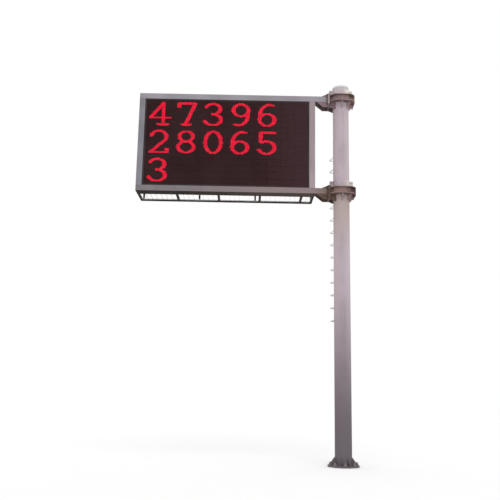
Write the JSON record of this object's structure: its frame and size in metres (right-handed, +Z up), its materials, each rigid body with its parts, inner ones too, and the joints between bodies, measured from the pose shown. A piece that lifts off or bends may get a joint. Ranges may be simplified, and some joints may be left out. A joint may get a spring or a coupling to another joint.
{
  "type": "cantilever sign gantry",
  "caption": "Tubular steel post with collars that carry a framed electronic message display on arms over a road, with a rear walkway and step irons.",
  "frame": {"origin": "centre of the base flange's underside, on the post's axis at ground level", "axes": "+Z up along the post; the display faces -Y and reaches out along -X"},
  "size_m": [5.178, 1.1725, 8.8195],
  "materials": {
    "post_paint": "weathered light grey paint over galvanising",
    "frame_paint": "weathered light grey paint",
    "collar_paint": "weathered dark brown-grey primer paint",
    "joint_paint": "weathered dark brown paint, dirty",
    "grating_zinc": "galvanised steel, dull",
    "walkway_paint": "dark paint, weathered",
    "step_iron_paint": "grey paint, scuffed",
    "cabinet_paint": "satin grey paint",
    "bezel_black": "matt black",
    "led_face": "matt black face with rows of red lamps"
  },
  "bodies": {
    "root": {"base_flange": "post_paint", "base_ribs": "post_paint", "display_bezel": "bezel_black", "display_cabinet": "cabinet_paint", "guard_end_rails": "walkway_paint", "guard_mid_rail": "walkway_paint", "guard_rail_posts": "walkway_paint", "guard_top_rail": "walkway_paint", "led_panel": "led_face", "left_upright": "frame_paint", "lower_arm": "frame_paint", "lower_arm_flange": "joint_paint", "lower_arm_gussets": "joint_paint", "lower_collar_bottom_plate": "collar_paint", "lower_collar_drum": "collar_paint", "lower_collar_ribs": "collar_paint", "lower_collar_top_plate": "collar_paint", "lower_hoop": "post_paint", "lower_step_irons": "step_iron_paint", "lower_stub": "collar_paint", "lower_stub_flange": "collar_paint", "post_cap": "post_paint", "post_tube": "post_paint", "rear_door_1": "cabinet_paint", "rear_door_2": "cabinet_paint", "rear_door_3": "cabinet_paint", "rear_door_4": "cabinet_paint", "right_upright": "frame_paint", "upper_arm": "frame_paint", "upper_arm_flange": "joint_paint", "upper_arm_gussets": "joint_paint", "upper_collar_bottom_plate": "collar_paint", "upper_collar_drum": "collar_paint", "upper_collar_ribs": "collar_paint", "upper_collar_top_plate": "collar_paint", "upper_hoop": "post_paint", "upper_step_irons": "step_iron_paint", "upper_stub": "collar_paint", "upper_stub_flange": "collar_paint", "walkway_cross_beams": "walkway_paint", "walkway_grating": "grating_zinc", "walkway_inner_beam": "walkway_paint", "walkway_left_end_beam": "walkway_paint", "walkway_outer_beam": "walkway_paint", "walkway_right_end_beam": "walkway_paint"}
  },
  "joints": []
}
